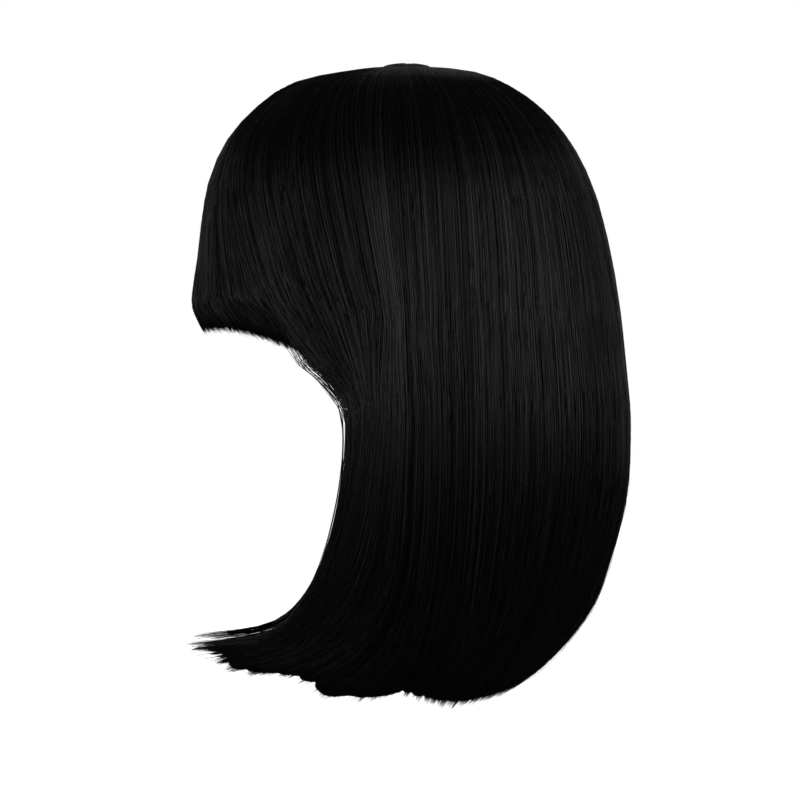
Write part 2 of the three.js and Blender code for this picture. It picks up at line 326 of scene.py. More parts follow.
    @staticmethod
    def _look_up(table: Array, guide: Array, station: Array) -> Array:
        """Smooth value of a run-on table.

        Args:
            table: The table, a row for each guide.
            guide: Fractional rows.
            station: Fractional columns.

        Returns:
            The values there.
        """
        row = np.clip(np.floor(guide).astype(int), 0, table.shape[0] - NEIGHBOURS)
        column = np.clip(np.floor(station).astype(int), 0, table.shape[1] - NEIGHBOURS)
        across = cubic_weights(guide - row)
        down = cubic_weights(station - column)
        return sum(
            a * d * table[row + i, column + k]
            for i, a in enumerate(across)
            for k, d in enumerate(down)
        )

    def on_strand(
        self, guide: Array, station: Array, end: Station
    ) -> tuple[Array, Array]:
        """Bearing and level of strands.

        Args:
            guide: Fractional guide numbers, 0 or more.
            station: Fractional stations.
            end: Station where the section ends, which tells the fringe from the rest.

        Returns:
            Bearings in degrees and fractional levels.
        """
        guide, station = np.broadcast_arrays(guide, station)
        if end is Station.LASH:
            kind = "fringe_"
        else:
            kind, guide = "", guide - self.first_guide
        bearing = self._look_up(self.tables[f"{kind}bearing"], guide, station)
        return bearing, self._look_up(self.tables[f"{kind}level"], guide, station)


BODY = HairBody()
HEAD = HeadForm()
# Guides and how many millimetres the hem is cut short there, below 0 where it is longer
HEM_CUTS = (
    (2.0, 0.5), (2.12, 3.5), (2.3, 10.0), (2.55, 10.5), (2.78, 7.0), (3.0, 2.0), (3.35, -2.5),
    (3.65, -3.0), (3.95, -0.6), (4.1, 3.0), (4.42, 2.4), (4.5, -0.8), (4.7, -3.0), (5.0, 0.9),
    (5.3, 4.2), (5.45, 6.4), (5.75, 2.7), (6.05, -1.9), (6.35, -2.9), (6.65, -1.6), (7.1, 0.2),
    (8.0, 0.4),
)
# Rows lie this many times closer above this station, where strands bend over the crown
CROWN_BEND = 1.2
CROWN_ROWS = 1.8
# Range of a random phase in radians, a full turn
FULL_TURN = 6.3
# Height of a strand's ridge in half widths
RIDGE = 1.1
# Points closer than this are one
MERGE = 0.01 * MM


class Value:
    """An output of a shader node. Python operators work on it where it is a number."""

    def __init__(self, sheet: "Sheet", socket: bpy.types.NodeSocket) -> None:
        """Keep the socket and the sheet that it is on."""
        self.sheet = sheet
        self.socket = socket

    def output(self, name: str) -> "Value":
        """Another output of the same node."""
        return Value(self.sheet, self.socket.node.outputs[name])

    def _with(self, operation: str, *values: "Value | float", clamped: bool = False) -> "Value":
        """Add one Math node that works on values in order."""
        settings = {"operation": operation, "use_clamp": clamped}
        return self.sheet.node("ShaderNodeMath", settings, list(values))

    def __add__(self, other: "Value | float") -> "Value":
        """Sum."""
        return self._with("ADD", self, other)

    def __sub__(self, other: "Value | float") -> "Value":
        """Difference."""
        return self._with("SUBTRACT", self, other)

    def __rsub__(self, other: "Value | float") -> "Value":
        """Difference the other way."""
        return self._with("SUBTRACT", other, self)

    def __mul__(self, other: "Value | float") -> "Value":
        """Product."""
        return self._with("MULTIPLY", self, other)

    def __truediv__(self, other: "Value | float") -> "Value":
        """Quotient."""
        return self._with("DIVIDE", self, other)

    def sine(self) -> "Value":
        """Sine of a value in radians."""
        return self._with("SINE", self)

    def held(self) -> "Value":
        """The value held between 0 and 1."""
        return self._with("ADD", self, 0.0, clamped=True)


class Sheet:
    """The node sheet of a material or a world."""

    def __init__(self, owner: bpy.types.Material | bpy.types.World) -> None:
        """Take the owner's sheet and empty it."""
        self.owner = owner
        owner.use_nodes = True
        self.tree = owner.node_tree
        self.tree.nodes.clear()

    def node(self, kind: str, settings: dict, values: dict | list, output: str | int = 0) -> Value:
        """Add a node.

        Args:
            kind: Blender's node type.
            settings: Its properties.
            values: Numbers or links for its inputs, by name or in order.
            output: Name or number of the output to give.

        Returns:
            That output.
        """
        made = self.tree.nodes.new(kind)
        for key, setting in settings.items():
            setattr(made, key, setting)
        for key, value in values.items() if isinstance(values, dict) else enumerate(values):
            self.feed(made.inputs[key], value)
        return Value(self, made.outputs[output])

    def feed(self, target: bpy.types.NodeSocket, value: object) -> None:
        """Link a value to an input, or set the input to a number."""
        if isinstance(value, Value):
            self.tree.links.new(value.socket, target)
        else:
            target.default_value = value

    def close(self, kind: str, surface: Value) -> None:
        """Add the output node of a kind and link its surface."""
        self.feed(self.tree.nodes.new(kind).inputs["Surface"], surface)

    def flow(self, across: float, down: float) -> Value:
        """The piece's own map of the hair's flow, stretched across and down."""
        chart = self.node("ShaderNodeUVMap", {"uv_map": "flow"}, {})
        return self.node("ShaderNodeMapping", {}, {"Vector": chart, "Scale": (across, down, 1.0)})

    def place(self) -> Value:
        """Where a point is, in the object's own metres."""
        return self.node("ShaderNodeTexCoord", {}, {}, "Object")

    def noise(self, place: Value, scale: float, detail: float = 2.0, grain: float = 0.5) -> Value:
        """Smooth noise at a place, with more grain for a rougher one."""
        inputs = {"Vector": place, "Scale": scale, "Detail": detail, "Roughness": grain}
        return self.node("ShaderNodeTexNoise", {}, inputs, "Fac")

    def ramp(self, place: Value, stops: list[tuple[float, Triple]]) -> Value:
        """Colours that blend from stop to stop.

        Args:
            place: How far along the ramp, from 0 to 1.
            stops: Places and their colours.

        Returns:
            The colour there.
        """
        made = self.node("ShaderNodeValToRGB", {}, [place])
        elements = made.socket.node.color_ramp.elements
        while len(elements) < len(stops):
            elements.new(0.5)
        for element, (at, colour) in zip(elements, stops):
            element.position, element.color = at, (*colour, 1.0)
        return made

    def blend(self, share: Value, low: Value | Triple, high: Triple) -> Value:
        """Mix a first colour with a share of a second."""
        first = low if isinstance(low, Value) else (*low, 1.0)
        inputs = {"Factor": share, "A": first, "B": (*high, 1.0)}
        return self.node("ShaderNodeMix", {"data_type": "RGBA"}, inputs, "Result")

    def relief(self, height: Value, strength: float, depth: float) -> Value:
        """Bumps that follow a height, as deep as depth in metres."""
        inputs = {"Strength": strength, "Distance": depth, "Height": height}
        return self.node("ShaderNodeBump", {}, inputs)

    def finish(
        self, colour: object, roughness: Value | float, specular: float, relief: Value | None = None
    ) -> bpy.types.Material:
        """Give the sheet its shader and its output.

        Args:
            colour: Base colour with alpha, or a socket that gives it.
            roughness: From 0, a mirror, to 1, matt.
            specular: Level of the shine, with 0.5 as the usual one.
            relief: Bumps, where there are any.

        Returns:
            The material.
        """
        inputs = {"Base Color": colour, "Roughness": roughness, "Specular IOR Level": specular}
        if relief is not None:
            inputs["Normal"] = relief
        shader = self.node("ShaderNodeBsdfPrincipled", {}, inputs)
        self.close("ShaderNodeOutputMaterial", shader)
        return self.owner


@dataclass(frozen=True)
class FibreFinish:
    """Glossy black straight fibre, speckled grey round the crown: partly the skin top showing between
    the roots, partly painted sheen.
    """

    name: str = "black_fibre"
    dark: Triple = (0.0003, 0.0003, 0.0003)
    light: Triple = (0.0026, 0.0025, 0.0024)
    # Speckled grey blended over the fibre round the crown: partly the skin top showing between the
    # roots, partly painted sheen where the crown catches the light. Its colour, middle, reach and how
    # matt it makes the fibre there
    roots: Triple = (0.03, 0.028, 0.0262)
    roots_and_sheen_centre: Triple = (0.0, 26.0 * MM, 8.0 * MM)
    roots_and_sheen_reach: float = 46.0 * MM
    roots_and_sheen_matt: float = 0.4
    roughness: float = 0.2
    roughness_spread: float = 0.42
    specular: float = 0.24
    # Streaks across a mass and across the spread of single strands, and breaks down them
    streaks: float = 420.0
    strand_streaks: float = 40.0
    breaks: float = 9.0
    # How many times as wide the broad streaks are, and the breaks down them
    broader: float = 9.0
    broad_breaks: float = 2.0
    grain: float = 0.55
    # Weights of fine and broad streaks in the shade, and what is taken off their sum
    shade_mix: Triple = (0.9, 0.7, 0.3)
    # Gain on the fine streaks and on the speckle, and what is taken off each
    dull_mix: Pair = (2.6, 0.85)
    speckle_mix: Pair = (2.4, 0.6)
    # Scale of the speckle of that grey, partly painted sheen, and how sharply it rises inside its reach
    speckle_scale: float = 900.0
    roots_and_sheen_steep: float = 2.8
    # Stop of the middle shade on the ramp, and its share of the light one
    middle_shade: Pair = (0.7, 0.4)
    bump: float = 0.3
    bump_depth: float = 0.4 * MM

    def material(self, streaked: bool) -> bpy.types.Material:
        """Make the material.

        Args:
            streaked: True on a mass, whose strands are drawn in relief. On single strands the map's
                across value is one random number for each strand.

        Returns:
            The material.
        """
        sheet = Sheet(bpy.data.materials.new(self.name + ("_mass" if streaked else "_strand")))
        across = self.streaks if streaked else self.strand_streaks
        fine = sheet.noise(sheet.flow(across, self.breaks), 1.0, 1.0, self.grain)
        flow = sheet.flow(across / self.broader, self.broad_breaks)
        broad = sheet.noise(flow, 1.0, 2.0, self.grain)
        fine_weight, broad_weight, taken = self.shade_mix
        shade = (fine * fine_weight + broad * broad_weight - taken).held()
        dull = (fine * self.dull_mix[0] - self.dull_mix[1]).held()
        stop, share = self.middle_shade
        middle = tuple(float(v) for v in mix(np.array(self.dark), np.array(self.light), share))
        stops = [(0.0, self.dark), (stop, middle), (1.0, self.light)]
        fibre = sheet.ramp(shade, stops)
        place = sheet.place()
        apart = sheet.node(
            "ShaderNodeVectorMath", {"operation": "DISTANCE"}, [place, self.roots_and_sheen_centre], "Value"
        )
        # Speckled grey round the crown: the skin top between the roots, and partly painted sheen where
        # the crown catches the light
        near = ((1.0 - apart / self.roots_and_sheen_reach) * self.roots_and_sheen_steep).held()
        speckle = sheet.noise(place, self.speckle_scale) * self.speckle_mix[0] - self.speckle_mix[1]
        colour = sheet.blend((speckle * near).held(), fibre, self.roots)
        rough = dull * dull * self.roughness_spread + near * self.roots_and_sheen_matt + self.roughness
        relief = sheet.relief(fine, self.bump, self.bump_depth) if streaked else None
        return sheet.finish(colour, rough, self.specular, relief)


@dataclass(frozen=True)
class NetFinish:
    """Matt stretch net of the cap."""

    name: str = "cap_net"
    thread: Triple = (0.014, 0.013, 0.013)
    gap: Triple = (0.003, 0.003, 0.003)
    pitch: float = 1.3 * MM
    roughness: float = 0.85
    specular: float = 0.25
    bump: float = 0.6
    bump_depth: float = 0.3 * MM

    def material(self) -> bpy.types.Material:
        """Make the material, a lattice of threads and gaps."""
        sheet = Sheet(bpy.data.materials.new(self.name))
        parts = sheet.node("ShaderNodeSeparateXYZ", {}, [sheet.place()])
        turns = 2.0 * math.pi / self.pitch
        first = (parts + parts.output("Z")) * turns
        second = (parts.output("Y") - parts.output("Z")) * turns
        lattice = (first.sine() * second.sine()) * 0.5 + 0.5
        colour = sheet.blend(lattice, self.gap, self.thread)
        relief = sheet.relief(lattice, self.bump, self.bump_depth)
        return sheet.finish(colour, self.roughness, self.specular, relief)


@dataclass(frozen=True)
class CrownFinish:
    """Grey skin top with fine dark roots through it."""

    name: str = "crown_skin"
    skin: Triple = (0.011, 0.0103, 0.0096)
    root: Triple = (0.005, 0.0047, 0.0045)
    root_scale: float = 1100.0
    cloud_scale: float = 160.0
    # Weights of the roots and of the cloud in the share of skin, and what is taken off their sum
    skin_mix: Triple = (1.7, 0.5, 0.55)
    roughness: float = 0.6
    specular: float = 0.3
    bump: float = 0.5
    bump_depth: float = 0.3 * MM

    def material(self) -> bpy.types.Material:
        """Make the material, with a cell for each root."""
        sheet = Sheet(bpy.data.materials.new(self.name))
        place = sheet.place()
        inputs = {"Vector": place, "Scale": self.root_scale}
        roots = sheet.node("ShaderNodeTexVoronoi", {"feature": "F1"}, inputs, "Distance")
        root_weight, cloud_weight, taken = self.skin_mix
        cloud = sheet.noise(place, self.cloud_scale)
        share = (roots * root_weight + cloud * cloud_weight - taken).held()
        colour = sheet.blend(share, self.root, self.skin)
        relief = sheet.relief(roots, self.bump, self.bump_depth)
        return sheet.finish(colour, self.roughness, self.specular, relief)


@dataclass(frozen=True)
class FloorFinish:
    """Plain pale studio floor."""

    name: str = "pale_floor"
    colour: Triple = (0.8, 0.8, 0.8)
    roughness: float = 0.9
    specular: float = 0.1

    def material(self) -> bpy.types.Material:
        """Make the material."""
        sheet = Sheet(bpy.data.materials.new(self.name))
        return sheet.finish((*self.colour, 1.0), self.roughness, self.specular)


class Workbench:
    """Shared ways of making meshes."""

    @staticmethod
    def clear_selection() -> None:
        """Leave nothing selected."""
        bpy.ops.object.select_all(action="DESELECT")

    @staticmethod
    def place(
        name: str, data: bpy.types.ID, location: "tuple | Vector" = (0.0, 0.0, 0.0)
    ) -> bpy.types.Object:
        """Add an object to the scene.

        Args:
            name: Its name.
            data: Its mesh, light or camera.
            location: Where it stands.

        Returns:
            The object.
        """
        made = bpy.data.objects.new(name, data)
        made.location = location
        bpy.context.scene.collection.objects.link(made)
        return made

    @staticmethod
    @contextmanager
    def edited() -> Iterator[None]:
        """Edit the active mesh with all of it selected, then turn its faces outward."""
        bpy.ops.object.mode_set(mode="EDIT")
        bpy.ops.mesh.select_all(action="SELECT")
        yield
        bpy.ops.mesh.select_all(action="SELECT")
        bpy.ops.mesh.normals_make_consistent(inside=False)
        bpy.ops.object.mode_set(mode="OBJECT")

    @classmethod
    def grid(cls, name: str, columns: int, rows: int) -> tuple[bpy.types.Object, Array, Array]:
        """Add a flat grid whose own map is named flow.

        Args:
            name: The object's name.
            columns: Faces across.
            rows: Faces down.

        Returns:
            The grid, active and selected alone, and how far across and down each of its points
            is, from 0 to 1.
        """
        cls.clear_selection()
        bpy.ops.mesh.primitive_grid_add(x_subdivisions=columns, y_subdivisions=rows, size=1.0)
        made = bpy.context.active_object
        made.name = made.data.name = name
        made.data.uv_layers[0].name = "flow"
        flat = np.empty(len(made.data.vertices) * 3)
        made.data.vertices.foreach_get("co", flat)
        flat = flat.reshape(-1, 3)
        return made, flat[:, 0] + 0.5, flat[:, 1] + 0.5

    @staticmethod
    def lay(made: bpy.types.Object, points: Array) -> None:
        """Move each point of a mesh to a new place."""
        made.data.vertices.foreach_set("co", points.astype(np.float32).ravel())
        made.data.update()

    @classmethod
    def wall(cls, outer: bpy.types.Object, inner: bpy.types.Object) -> bpy.types.Object:
        """Join an outer and an inner sheet round their edges into one closed wall.

        Args:
            outer: The outer sheet, which keeps its name.
            inner: The inner sheet.

        Returns:
            The wall.
        """
        cls.clear_selection()
        outer.select_set(True)
        inner.select_set(True)
        bpy.context.view_layer.objects.active = outer
        bpy.ops.object.join()
        with cls.edited():
            bpy.ops.mesh.select_all(action="DESELECT")
            bpy.ops.mesh.select_mode(type="EDGE")
            bpy.ops.mesh.select_non_manifold()
            bpy.ops.mesh.bridge_edge_loops()
        bpy.ops.object.shade_smooth()
        return outer

    @classmethod
    def from_arrays(
        cls, name: str, points: Array, quads: Array, triangles: Array, chart: Array
    ) -> bpy.types.Object:
        """Make one joined mesh of many small forms.

        Args:
            name: The object's name.
            points: All points.
            quads: Four point numbers for each four-sided face.
            triangles: Three point numbers for each three-sided face.
            chart: The flow map's place of each point.

        Returns:
            The object.
        """
        mesh = bpy.data.meshes.new(name)
        mesh.vertices.add(len(points))
        mesh.vertices.foreach_set("co", points.astype(np.float32).ravel())
        corners = np.concatenate([quads.ravel(), triangles.ravel()]).astype(np.int32)
        sizes = np.concatenate([np.full(len(quads), 4), np.full(len(triangles), 3)])
        starts = np.concatenate([[0], np.cumsum(sizes)[:-1]]).astype(np.int32)
        mesh.loops.add(len(corners))
        mesh.loops.foreach_set("vertex_index", corners)
        mesh.polygons.add(len(sizes))
        mesh.polygons.foreach_set("loop_start", starts)
        mesh.polygons.foreach_set("use_smooth", np.ones(len(sizes), bool))
        layer = mesh.uv_layers.new(name="flow")
        layer.data.foreach_set("uv", chart[corners].astype(np.float32).ravel())
        mesh.update(calc_edges=True)
        mesh.validate()
        return cls.place(name, mesh)


def dress(made: bpy.types.Object, material: bpy.types.Material, slot: str, *nodes: str) -> None:
    """Give a piece its finish and its body, and hide the CAD nodes that it replaces.

    Args:
        made: The piece.
        material: Its finish.
        slot: The record's material slot; not used.
        nodes: CAD nodes that it replaces.
    """
    made.data.materials.clear()
    made.data.materials.append(material)
    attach(made, "root")
    if nodes:
        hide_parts(*nodes)
    LOG.info("%s: %d points, %d faces", made.name, len(made.data.vertices), len(made.data.polygons))


@dataclass(frozen=True)
class HairSection:
    """The hair between two guides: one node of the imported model."""

    name: str
    first: float
    last: float
    locks: int
    end: Station
    side: Side
    notch: float
    seed: int
    lock_depth: float = 1.1 * MM
    curtain_wall: float = 14.0 * MM
    fringe_wall: float = 10.0 * MM
    face_edge_wall: float = 5.0 * MM
    tip_wall: float = 1.6 * MM
    seat: float = 2.9 * MM
    under: float = 0.35 * MM
    relief: float = 0.3 * MM
    mass_short: float = 1.6 * MM
    ragged: float = 0.4 * MM
    free_edge: Pair = (2.4 * MM, 5.5 * MM)
    # Ranges of a lock's width and length beside the others
    lock_widths: Pair = (0.5, 1.7)
    lock_lengths: Pair = (-0.5, 0.5)
    # How much shorter a lock is at its borders, and the power that it gets so with
    border_cut: Pair = (0.8, 2.5)
    # Stations before the end over which locks part
    lock_run: float = 1.2
    # Guides over which the wall grows from the face edge
    edge_guides: float = 0.35
    # Stations where the free edge begins to widen and to open, and the run of each
    widens: Pair = (4.5, 3.0)
    opens: Pair = (3.2, 1.2)
    # How far under the cap's rim the inside leaves the head, and over what height
    release: Pair = (14.0 * MM, 45.0 * MM)
    # Reach of the steady and of the slow part of the relief, and its knots down a fibre
    fibre_relief: Pair = (0.7, 0.3)
    relief_knots: int = 5

    @property
    def middle(self) -> float:
        """Guide that the section's rows and widths are measured at."""
        return 1.0 if self.side is Side.MIDDLE else (self.first + self.last) / 2

    @property
    def turned(self) -> float:
        """1 on the wearer's left and -1 on the right."""
        return -1.0 if self.side is Side.RIGHT else 1.0

    @property
    def has_free_edge(self) -> bool:
        """True where the section's first guide frames the face."""
        return self.side is not Side.MIDDLE and self.first == BODY.first_guide

    def borders(self) -> Array:
        """Guides where uneven locks part, from the first guide to the last."""
        random = np.random.default_rng(self.seed)
        places = np.concatenate([[0.0], np.cumsum(random.uniform(*self.lock_widths, self.locks))])
        return mix(self.first, self.last, places / places[-1])

    def lock_at(self, guide: Array) -> tuple[Array, Array, Array]:
        """Which lock a guide is in.

        Args:
            guide: Fractional guides.

        Returns:
            The lock's number, its middle guide, and the place in it from -1 to 1.
        """
        borders = self.borders()
        number = np.clip(np.searchsorted(borders, guide, side="right") - 1, 0, self.locks - 1)
        middle = (borders[number] + borders[number + 1]) / 2
        half = (borders[number + 1] - borders[number]) / 2
        return number, middle, (guide - middle) / half

    def tip_station(self, guide: Array) -> Array:
        """Station where the hair ends, with each lock longest at its middle.

        Args:
            guide: Fractional guides.

        Returns:
            The last station of each.
        """
        number, _, within = self.lock_at(guide)
        lengths = np.random.default_rng(self.seed + 1).uniform(*self.lock_lengths, self.locks)
        border, power = self.border_cut
        cut = (lengths[number] + border * np.abs(np.clip(within, -1, 1)) ** power) * self.notch
        if self.end is Station.TIP:
            places, cuts = zip(*HEM_CUTS)
            cut = cut + np.interp(guide, places, cuts) * MM
        return self.end - cut / self.pace()

    def even_rows(self) -> tuple[Array, Array]:
        """Stations down the middle strand and the share of the rows above each.

        Rows lie evenly along the strand, and closer where it bends over the crown.

        Returns:
            Stations, and shares from 0 to 1.
        """
        past_end, samples = 0.4, 240
        stations = np.linspace(0, self.end + past_end, samples)
        points = self.body_points(np.full_like(stations, self.middle), stations)
        steps = np.linalg.norm(np.diff(points, axis=0), axis=1)
        steps = steps * np.where(stations[1:] < CROWN_BEND, CROWN_ROWS, 1.0)
        shares = np.concatenate([[0.0], np.cumsum(steps)])
        return stations, shares / shares[-1]

    def rows_between(self, first: Array, last: Array, down: Array) -> Array:
        """Stations at shares of the way down from a first to a last station."""
        stations, shares = self.even_rows()
        start, stop = np.interp(first, stations, shares), np.interp(last, stations, shares)
        return np.interp(mix(start, stop, down), shares, stations)

    def body_points(self, guide: Array, station: Array) -> Array:
        """Points of the outer body at guides and stations."""
        return BODY.point(*BODY.on_strand(guide, station, self.end))

    def _rate(self, guides: Pair, stations: Pair, step: float) -> float:
        """Metres between two places on the body, over the step between them."""
        points = self.body_points(np.array(guides), np.array(stations))
        return float(np.linalg.norm(points[1] - points[0])) / step

    def pace(self) -> float:
        """Metres of hair for one station, near the tips."""
        middle, end, step = (self.first + self.last) / 2, float(self.end), 0.2
        return self._rate((middle, middle), (end - step, end), step)

    def span(self, station: float = float(Station.JAW)) -> float:
        """Metres from guide to guide at a station."""
        at, step = min(station, float(self.end)), 0.02
        return self._rate((self.middle, self.middle + step), (at, at), step)

    def spans(self, station: Array) -> Array:
        """Metres from guide to guide at stations below the jaw, and at the jaw above it."""
        jaw, tip = float(Station.JAW), float(Station.TIP)
        return np.interp(station, [jaw, tip], [self.span(jaw), self.span(tip)])

    def wall(self, guide: Array, station: Array) -> Array:
        """Thickness of the hair that hangs free.

        Args:
            guide: Fractional guides, 0 or more.
            station: Fractional stations.

        Returns:
            Thicknesses in metres.
        """
        past_brow = smooth(station, Station.BROW)
        face_edge = mix(self.fringe_wall, self.face_edge_wall, past_brow)
        from_edge = smooth(np.abs(guide - BODY.first_guide), 0.0, self.edge_guides)
        fringe = mix(face_edge, mix(self.fringe_wall, self.tip_wall, past_brow), from_edge)
        tapered = smooth(station, Station.COLLAR, 2.0)
        rest = mix(mix(face_edge, self.curtain_wall, from_edge), self.tip_wall, tapered)
        return np.where(guide < BODY.first_guide, fringe, rest)

    def lay(self, guide: Array, station: Array, lift: Array) -> tuple[Array, Array]:
        """Points on the section's outside.

        Args:
            guide: Fractional guides, below 0 on the other side of the face.
            station: Fractional stations.
            lift: Height over the surface of the locks.

        Returns:
            Points, and outward directions there.
        """
        mirror = np.where(guide < 0, -1.0, 1.0) * self.turned
        bearing, level = BODY.on_strand(np.abs(guide), station, self.end)
        normal = BODY.normal(bearing, level)
        loose = smooth(station, self.end - self.lock_run, self.lock_run)
        within = np.clip(self.lock_at(guide)[2], -1, 1)
        cut = np.abs(within) ** 3 * loose
        points = BODY.point(bearing, level) + normal * (lift - self.lock_depth * cut)[..., None]
        points[..., 0] *= mirror
        normal[..., 0] *= mirror
        return points, normal

    def lay_inside(self, guide: Array, station: Array, lift: Array) -> Array:
        """Points on the section's inside.

        Args:
            guide: Fractional guides, below 0 on the other side of the face.
            station: Fractional stations.
            lift: Height over the inside, away from the hair.

        Returns:
            Points in metres.
        """
        folded = np.abs(guide)
        bearing, level = BODY.on_strand(folded, station, self.end)
        here = BODY.point(bearing, level)
        normal = BODY.normal(bearing, level)
        free = here - normal * (self.wall(folded, station) + lift)[..., None]
        seated = HEAD.surface(here, self.seat)
        head_bearing = np.degrees(np.arctan2(np.abs(here[..., 0]), -here[..., 1]))
        rim = HEAD.rim_height(head_bearing)
        below, run = self.release
        release = smooth(rim - below - here[..., 2], 0.0, run)
        points = mix(seated, free, release[..., None])
        points[..., 0] *= np.where(guide < 0, -1.0, 1.0) * self.turned
        return points

    def mass(self, columns: int, rows: int) -> bpy.types.Object:
        """Model the section's mass, a little under its strands.

        Args:
            columns: Faces across.
            rows: Faces down.

        Returns:
            The closed mass.
        """
        random = np.random.default_rng(self.seed + 2)
        sheets = []
        for face in ("outer", "inner"):
            made, across, down = Workbench.grid(f"{self.name}_{face}", columns, rows)
            guide = mix(self.first, self.last, across)
            uneven = self.ragged * self._lengths(across, columns)
            last = self.tip_station(guide) - (self.mass_short + uneven) / self.pace()
            station = self.rows_between(np.zeros_like(last), last, down)
            if self.has_free_edge:
                guide = mix(self.first + self.bared(station), self.last, across)
            relief = self.relief * self._fibres(random, across, down, columns)
            if face == "outer":
                points, _ = self.lay(guide, station, relief - self.under)
            else:
                points = self.lay_inside(guide, station, relief - self.under)
            Workbench.lay(made, points)
            sheets.append(made)
        made = Workbench.wall(*sheets)
        made.name = made.data.name = f"{self.name}_mass"
        return made

    def bared(self, station: Array) -> Array:
        """Guides from the free edge to the mass, wider towards the tip."""
        free = mix(*self.free_edge, smooth(station, *self.widens))
        return free / self.spans(station) * smooth(station, *self.opens)

    def _lengths(self, across: Array, columns: int) -> Array:
        """Uneven lengths from -1 to 1 of fibres side by side."""
        random = np.random.default_rng(self.seed + 3)
        column = np.rint(across * columns).astype(int)
        return random.uniform(-1, 1, columns + 1)[column]

    def _fibres(self, random: np.random.Generator, across: Array, down: Array, columns: int) -> Array:
        """Heights of fibres side by side, which rise and sink slowly.

        Args:
            random: Where the heights are drawn from.
            across: Shares of the way across.
            down: Shares of the way down.
            columns: How many fibres there are, less one.

        Returns:
            Heights from -1 to 1.
        """
        steady, slow = self.fibre_relief
        knots = self.relief_knots
        heights = random.uniform(-steady, steady, (columns + 1, 1))
        heights = heights + random.uniform(-slow, slow, (columns + 1, knots + 2))
        column = np.rint(across * columns).astype(int)
        place = down * knots
        knot = np.clip(np.floor(place).astype(int), 0, knots)
        share = smooth(place - knot)
        return mix(heights[column, knot], heights[column, knot + 1], share)


@dataclass(frozen=True)
class StrandLayer:
    """Many single strands over one section, as one joined mesh."""

    section: HairSection
    label: str
    count: int
    segments: int
    width: float = 0.6 * MM
    width_spread: Pair = (0.5, 1.4)
    lift: Pair = (-0.3 * MM, 0.25 * MM)
    wave: float = 0.05 * MM
    starts: Pair = (0.0, 2.0)
    late_share: float = 0.5
    short: float = 9.0 * MM
    proud: float = 3.4 * MM
    sway: float = 0.3 * MM
    clump: float = 0.55
    taper: float = 0.9
    bow: float = 0.0
    loose_share: float = 0.12
    reach: Pair = (0.0, 1.0)
    inside: bool = False
    seed: int = 1
    # Shares of the width at the ends and at the crown, and the stations that each grows over
    end_width: float = 0.18
    crown_width: float = 0.45
    start_run: float = 0.5
    crown_run: float = 0.8
    # Stations over which sway grows, and over which a bow at the cheek falls off
    sway_run: float = 2.5
    bow_run: float = 0.8
    # Above this station strands stay behind the section's first guide
    held_to: float = 2.5
    # Stations over which the fringe's strands and others gather, and how hard each may be pulled
    gather_runs: Pair = (0.7, 1.3)
    pulls: Pair = (0.3, 1.0)
    # Radians for each station of the sway and of the wave
    sway_turns: Pair = (0.4, 1.2)
    wave_turns: Pair = (0.6, 1.8)

    def build(self) -> bpy.types.Object:
        """Lay every strand and join them."""
        section = self.section
        random = np.random.default_rng(section.seed * 100 + self.seed)
        count = self.count
        column = (count, 1)
        share = (np.arange(count)[:, None] + random.random(column)) / count
        share = mix(*self.reach, share)
        guide = mix(section.first, section.last, share)
        late = random.random(column) < self.late_share
        first = random.uniform(*self.starts, column) * late
        cut = self.short * random.random(column) ** 3 - self.proud * random.random(column) ** 2
        last = section.tip_station(guide) - cut / section.pace()
        down = np.linspace(0, 1, self.segments + 1)[None, :]
        station = section.rows_between(first, last, down)
        guide = self._gathered(guide, station, last, random)
        turns = station * random.uniform(*self.wave_turns, column)
        turns = turns + random.uniform(0, FULL_TURN, column)
        height = random.uniform(*self.lift, column) + self.wave * np.sin(turns)
        if self.inside:
            points = section.lay_inside(guide, station, height)
            outward = -section.lay(guide, station, height)[1]
        else:
            points, outward = section.lay(guide, station, height)
        ends_in = smooth(last - station, 0.0, self.taper)
        starts_in = np.where(late, smooth(station, first, self.start_run), 1.0)
        width = self.width * random.uniform(*self.width_spread, column)
        width = width * mix(self.end_width, 1.0, ends_in * starts_in)
        width = width * mix(self.crown_width, 1.0, smooth(station, 0.0, self.crown_run))
        chart = strand_chart(random, station)
        return strand_mesh(f"{section.name}_{self.label}", points, outward, width, chart)

    def _gathered(self, guide: Array, station: Array, last: Array, random: np.random.Generator) -> Array:
        """Draw strands together into locks towards their tips, with a little sway.

        Args:
            guide: Guide that each strand starts on.
            station: Its stations.
            last: Its last station.
            random: Where its own share of everything is drawn from.

        Returns:
            Guides at every station.
        """
        section, column = self.section, (len(guide), 1)
        _, middle, _ = section.lock_at(guide)
        run = self.gather_runs[section.end is not Station.LASH]
        pull = self.clump * smooth(station - last + run, 0.0, run) * random.uniform(*self.pulls, column)
        sway = self.sway / section.spans(station) * smooth(station, 0.0, self.sway_run)
        phase = random.uniform(0, 2 * np.pi, column)
        bend = np.sin(station * random.uniform(*self.sway_turns, column) + phase)
        moved = mix(guide, middle, pull) + sway * bend
        cheek = np.exp(-(((station - Station.CHEEK) / self.bow_run) ** 2))
        moved = moved - self.bow / section.span() * cheek * random.random(column) ** 2
        if section.has_free_edge and not self.bow:
            drawn = section.bared(station) * (random.random(column) > self.loose_share)
            share = (moved - section.first) / (section.last - section.first)
            moved = moved + drawn * (1 - share)
        if section.side is Side.MIDDLE or section.has_free_edge:
            return np.where(station > self.held_to, moved, np.maximum(moved, section.first))
        return moved


